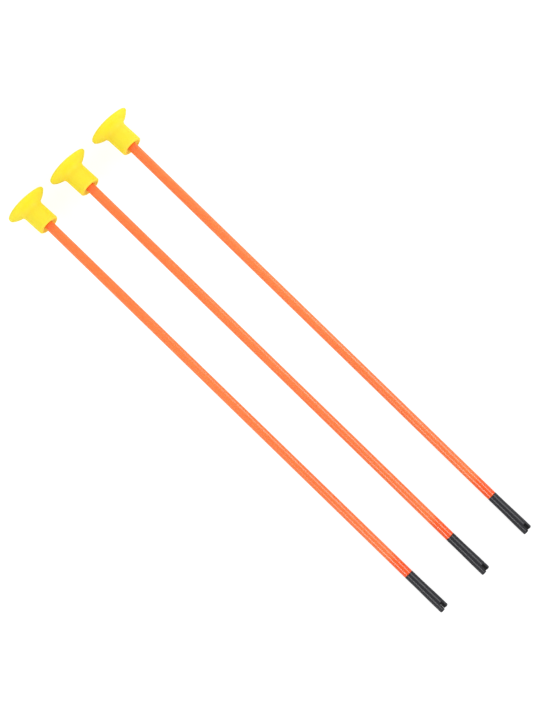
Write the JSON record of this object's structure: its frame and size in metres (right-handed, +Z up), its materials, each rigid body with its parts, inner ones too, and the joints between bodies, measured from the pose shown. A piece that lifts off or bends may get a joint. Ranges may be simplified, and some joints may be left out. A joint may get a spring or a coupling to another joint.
{
  "type": "suction cup toy arrows",
  "caption": "Set of toy arrows lying side by side: soft suction cups on slim hollow tubes, each with a slotted nock for a bow string at its rear end.",
  "frame": {"origin": "centre of the set's bounding box, on the floor it lies on", "axes": "+X along the shafts from the cups to the nocks, +Y from arrow 3 to arrow 1, +Z up"},
  "size_m": [0.421, 0.1166, 0.0336],
  "materials": {
    "soft_yellow": "soft satin moulding",
    "clear_orange": "glossy translucent extruded tube",
    "black_nock": "satin moulding"
  },
  "bodies": {
    "arrow_2": {"shaft_tube_2": "clear_orange", "nock_2": "black_nock"},
    "arrow_1": {"shaft_tube_1": "clear_orange", "nock_1": "black_nock"},
    "arrow_3": {"shaft_tube_3": "clear_orange", "nock_3": "black_nock"},
    "cup_1": {"suction_cup_1": "soft_yellow"},
    "cup_2": {"suction_cup_2": "soft_yellow"},
    "cup_3": {"suction_cup_3": "soft_yellow"}
  },
  "joints": [
    {"name": "lift_arrow_1", "type": "slide", "parent": "arrow_2", "child": "arrow_1", "axis": [0, 0, 1], "range_m": [0, 0.12]},
    {"name": "lift_arrow_3", "type": "slide", "parent": "arrow_2", "child": "arrow_3", "axis": [0, 0, 1], "range_m": [0, 0.12]},
    {"name": "pull_off_cup_1", "type": "slide", "parent": "arrow_1", "child": "cup_1", "axis": [-0.9995, 0.0035, 0.0313], "range_m": [0, 0.025]},
    {"name": "pull_off_cup_2", "type": "slide", "parent": "arrow_2", "child": "cup_2", "axis": [-0.9995, 0, 0.0313], "range_m": [0, 0.025]},
    {"name": "pull_off_cup_3", "type": "slide", "parent": "arrow_3", "child": "cup_3", "axis": [-0.9995, -0.0035, 0.0313], "range_m": [0, 0.025]}
  ]
}
